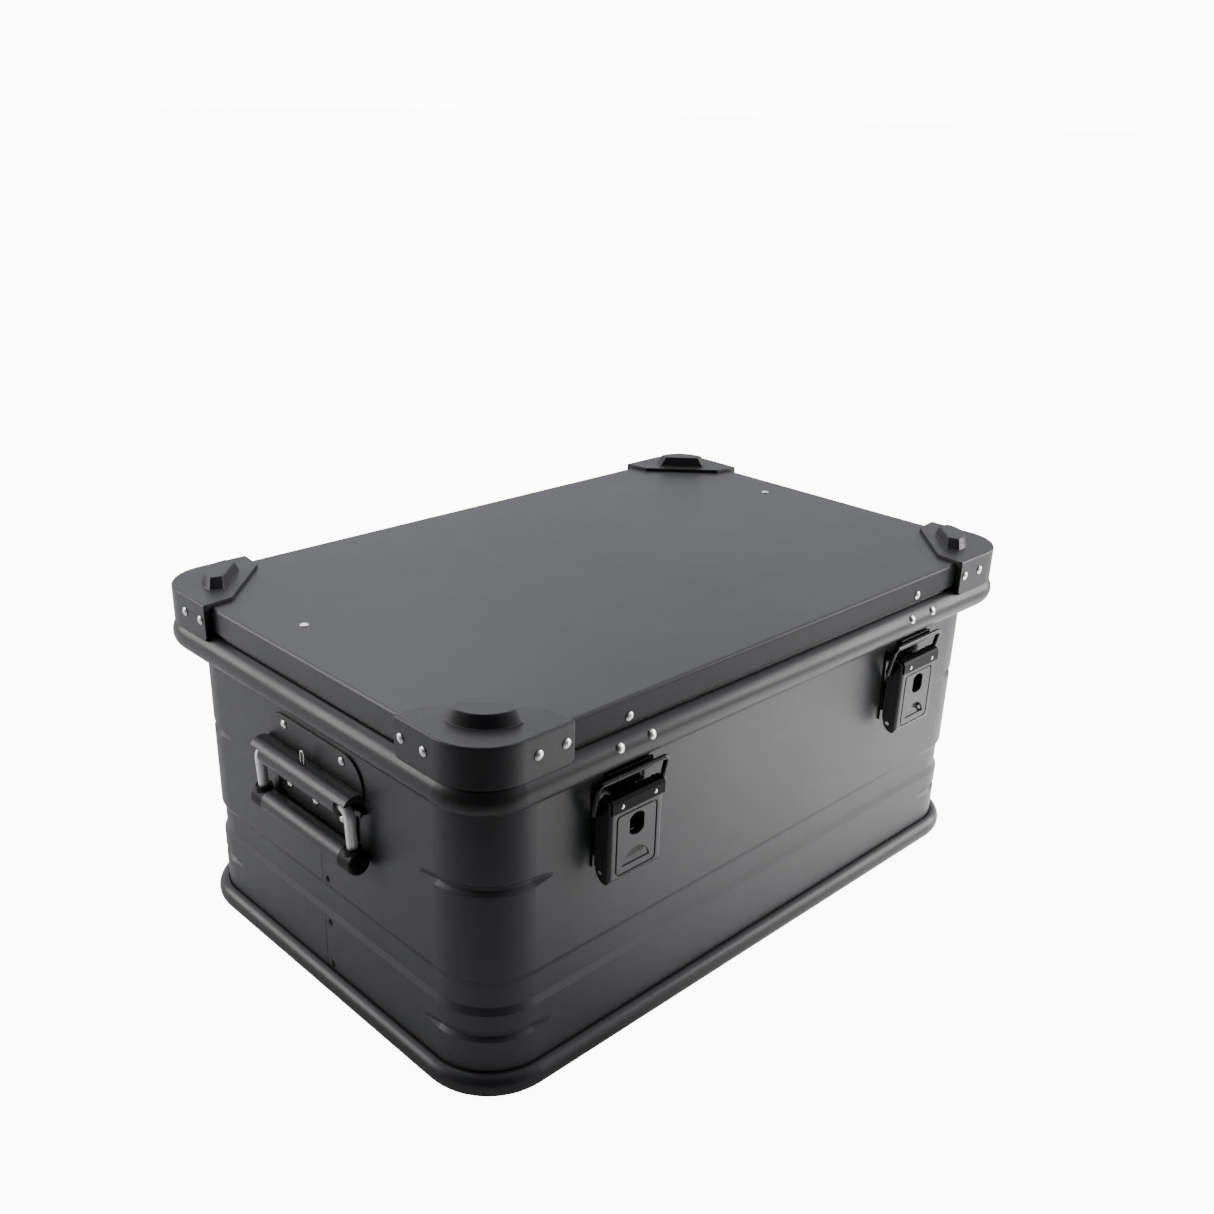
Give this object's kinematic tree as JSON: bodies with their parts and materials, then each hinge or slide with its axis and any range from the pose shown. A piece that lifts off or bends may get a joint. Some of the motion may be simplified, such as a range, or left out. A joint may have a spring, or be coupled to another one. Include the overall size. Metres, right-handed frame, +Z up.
{
  "type": "footlocker",
  "caption": "Metal footlocker with a hinged flared lid, stacking corners, draw latches on the front and a sprung drop handle on each end.",
  "frame": {"origin": "centre of the footprint, on the resting plane", "axes": "+X along the front from the left end to the right end, front face towards -Y, +Z up"},
  "size_m": [0.587, 0.3882, 0.277],
  "materials": {
    "sheet": "fine satin powder coat",
    "profile": "satin powder coat on extruded profile",
    "cast_corner": "satin powder coat on casting",
    "handle_plate": "satin powder coat",
    "lever_paint": "satin paint",
    "black_hardware": "glossy black",
    "bright_rivet": "bright bare metal",
    "bare_rod": "bright zinc plated",
    "spring_wire": "bright wire",
    "grip": "moulded soft grip",
    "seal": "matte rubber",
    "webbing": "woven webbing"
  },
  "bodies": {
    "box": {"wall_sheet": "sheet", "bottom_panel": "sheet", "base_rim": "profile", "body_rim": "profile", "seam_rivets": "black_hardware", "hinge_rivets": "black_hardware", "latch_rivets": "black_hardware", "strap_pins_body": "bright_rivet", "hinge_body_leaf_left": "black_hardware", "hinge_body_leaf_right": "black_hardware", "hinge_pin_left": "black_hardware", "hinge_pin_right": "black_hardware", "latch_base_left": "black_hardware", "latch_base_right": "black_hardware", "latch_pin_left": "black_hardware", "latch_pin_right": "black_hardware", "handle_plate_left": "handle_plate", "handle_plate_right": "handle_plate", "handle_rivets_left": "bright_rivet", "handle_rivets_right": "bright_rivet", "handle_spring_left": "spring_wire", "handle_spring_right": "spring_wire"},
    "lid": {"lid_panel": "sheet", "lid_frame": "profile", "lid_seal": "seal", "corner_front_left": "cast_corner", "corner_front_right": "cast_corner", "corner_rear_left": "cast_corner", "corner_rear_right": "cast_corner", "corner_rivets": "bright_rivet", "flange_rivets": "bright_rivet", "keeper_rivets": "bright_rivet", "keeper_left": "black_hardware", "keeper_right": "black_hardware", "hinge_lid_leaf_left": "black_hardware", "hinge_lid_leaf_right": "black_hardware", "stay_brackets": "black_hardware", "stay_rivets": "bright_rivet", "strap_pins_lid": "bright_rivet"},
    "latch_lever_body_left": {"latch_lever_left": "lever_paint", "latch_strip_left": "black_hardware", "latch_strip_rivets_left": "bright_rivet"},
    "latch_bail_body_left": {"latch_bail_left": "black_hardware"},
    "handle_body_left": {"handle_bail_left": "bare_rod", "handle_grip_left": "grip"},
    "strap_lower_body_left": {"strap_lower_left": "webbing"},
    "strap_upper_body_left": {"strap_upper_left": "webbing"},
    "latch_lever_body_right": {"latch_lever_right": "lever_paint", "latch_strip_right": "black_hardware", "latch_strip_rivets_right": "bright_rivet"},
    "latch_bail_body_right": {"latch_bail_right": "black_hardware"},
    "handle_body_right": {"handle_bail_right": "bare_rod", "handle_grip_right": "grip"},
    "strap_lower_body_right": {"strap_lower_right": "webbing"},
    "strap_upper_body_right": {"strap_upper_right": "webbing"}
  },
  "joints": [
    {"name": "lid_hinge", "type": "hinge", "parent": "box", "child": "lid", "pos_m": [0, 0.186, 0.214], "axis": [-1, 0, 0], "range_deg": [0, 95]},
    {"name": "latch_lever_left_swing", "type": "hinge", "parent": "box", "child": "latch_lever_body_left", "pos_m": [-0.161, -0.188, 0.198], "axis": [-1, 0, 0], "range_deg": [0, 130]},
    {"name": "latch_bail_left_pivot", "type": "hinge", "parent": "latch_lever_body_left", "child": "latch_bail_body_left", "pos_m": [-0.161, -0.1845, 0.192], "axis": [1, 0, 0], "range_deg": [0, 131]},
    {"name": "handle_left_swing", "type": "hinge", "parent": "box", "child": "handle_body_left", "pos_m": [-0.287, 0, 0.177], "axis": [0, 1, 0], "range_deg": [0, 90], "stiffness_Nm_per_rad": 0.05},
    {"name": "strap_lower_left_turn", "type": "hinge", "parent": "box", "child": "strap_lower_body_left", "pos_m": [-0.269, 0.005, 0.232], "axis": [1, 0, 0], "range_deg": [0, 85]},
    {"name": "strap_upper_left_turn", "type": "hinge", "parent": "lid", "child": "strap_upper_body_left", "pos_m": [-0.2673, 0.044, 0.25], "axis": [1, 0, 0], "range_deg": [0, 19]},
    {"name": "latch_lever_right_swing", "type": "hinge", "parent": "box", "child": "latch_lever_body_right", "pos_m": [0.161, -0.188, 0.198], "axis": [-1, 0, 0], "range_deg": [0, 130]},
    {"name": "latch_bail_right_pivot", "type": "hinge", "parent": "latch_lever_body_right", "child": "latch_bail_body_right", "pos_m": [0.161, -0.1845, 0.192], "axis": [1, 0, 0], "range_deg": [0, 131]},
    {"name": "handle_right_swing", "type": "hinge", "parent": "box", "child": "handle_body_right", "pos_m": [0.287, 0, 0.177], "axis": [0, -1, 0], "range_deg": [0, 90], "stiffness_Nm_per_rad": 0.05},
    {"name": "strap_lower_right_turn", "type": "hinge", "parent": "box", "child": "strap_lower_body_right", "pos_m": [0.269, 0.005, 0.232], "axis": [1, 0, 0], "range_deg": [0, 85]},
    {"name": "strap_upper_right_turn", "type": "hinge", "parent": "lid", "child": "strap_upper_body_right", "pos_m": [0.2673, 0.044, 0.25], "axis": [1, 0, 0], "range_deg": [0, 19]}
  ],
  "couplings": [
    {"joint": "latch_bail_left_pivot", "follows": "latch_lever_left_swing", "ratio": 1},
    {"joint": "strap_lower_left_turn", "follows": "lid_hinge", "ratio": 0.87757},
    {"joint": "strap_upper_left_turn", "follows": "lid_hinge", "ratio": 0.18388},
    {"joint": "latch_bail_right_pivot", "follows": "latch_lever_right_swing", "ratio": 1},
    {"joint": "strap_lower_right_turn", "follows": "lid_hinge", "ratio": 0.87757},
    {"joint": "strap_upper_right_turn", "follows": "lid_hinge", "ratio": 0.18388}
  ]
}
